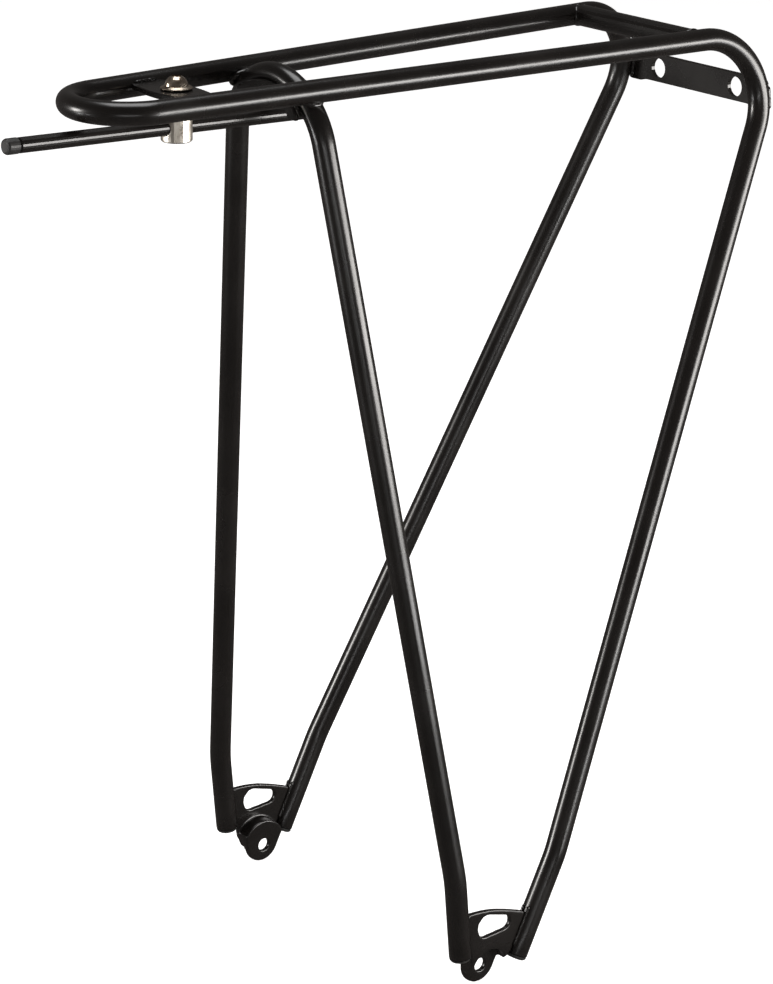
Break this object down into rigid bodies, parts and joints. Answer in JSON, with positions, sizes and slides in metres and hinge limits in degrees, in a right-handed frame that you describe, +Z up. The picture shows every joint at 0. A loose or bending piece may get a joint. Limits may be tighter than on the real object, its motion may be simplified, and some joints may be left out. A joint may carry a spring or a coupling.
{
  "type": "bicycle rear rack",
  "caption": "Slim steel rear rack: a bent tube loop on splayed legs, an arched front leg tube, eyelet feet, a lamp plate and a stay that slides and swivels in a clamp.",
  "frame": {"origin": "midway between the two foot eyelets, on the line through their centres", "axes": "+X to the rear of the bicycle, +Y to its right, +Z up"},
  "size_m": [0.3833, 0.1834, 0.4109],
  "materials": {
    "frame_paint": "gloss black powder coat over steel",
    "plug_plastic": "moulded black plastic",
    "nut_metal": "turned bright steel",
    "screw_metal": "warm nickel plating",
    "stay_paint": "gloss black powder coat over steel bar",
    "tip_plastic": "black plastic cap"
  },
  "bodies": {
    "frame": {"main_loop_tube": "frame_paint", "front_hoop_tube": "frame_paint", "rear_cross_tube": "frame_paint", "light_mount_plate": "frame_paint", "front_bracket_plate": "frame_paint", "arch_web_plate": "frame_paint", "left_foot_plate": "frame_paint", "right_foot_plate": "frame_paint", "front_leg_plug_left": "plug_plastic", "front_leg_plug_right": "plug_plastic", "rear_leg_plug_left": "plug_plastic", "rear_leg_plug_right": "plug_plastic"},
    "screw": {"clamp_screw": "screw_metal", "clamp_washer": "screw_metal"},
    "nut": {"eye_nut": "nut_metal"},
    "stay": {"stay_rod": "stay_paint", "stay_tip": "tip_plastic"}
  },
  "joints": [
    {"name": "clamp_screw_turn", "type": "hinge", "parent": "frame", "child": "screw", "pos_m": [-0.1073, 0, 0.3976], "axis": [0, 0, 1], "range_deg": [0, 720]},
    {"name": "stay_swivel", "type": "hinge", "parent": "frame", "child": "nut", "pos_m": [-0.1073, 0, 0.3976], "axis": [0, 0, 1], "range_deg": [-12, 12]},
    {"name": "stay_slide", "type": "slide", "parent": "nut", "child": "stay", "axis": [-0.9996, 0, 0.0288], "range_m": [-0.07, 0.05]}
  ]
}
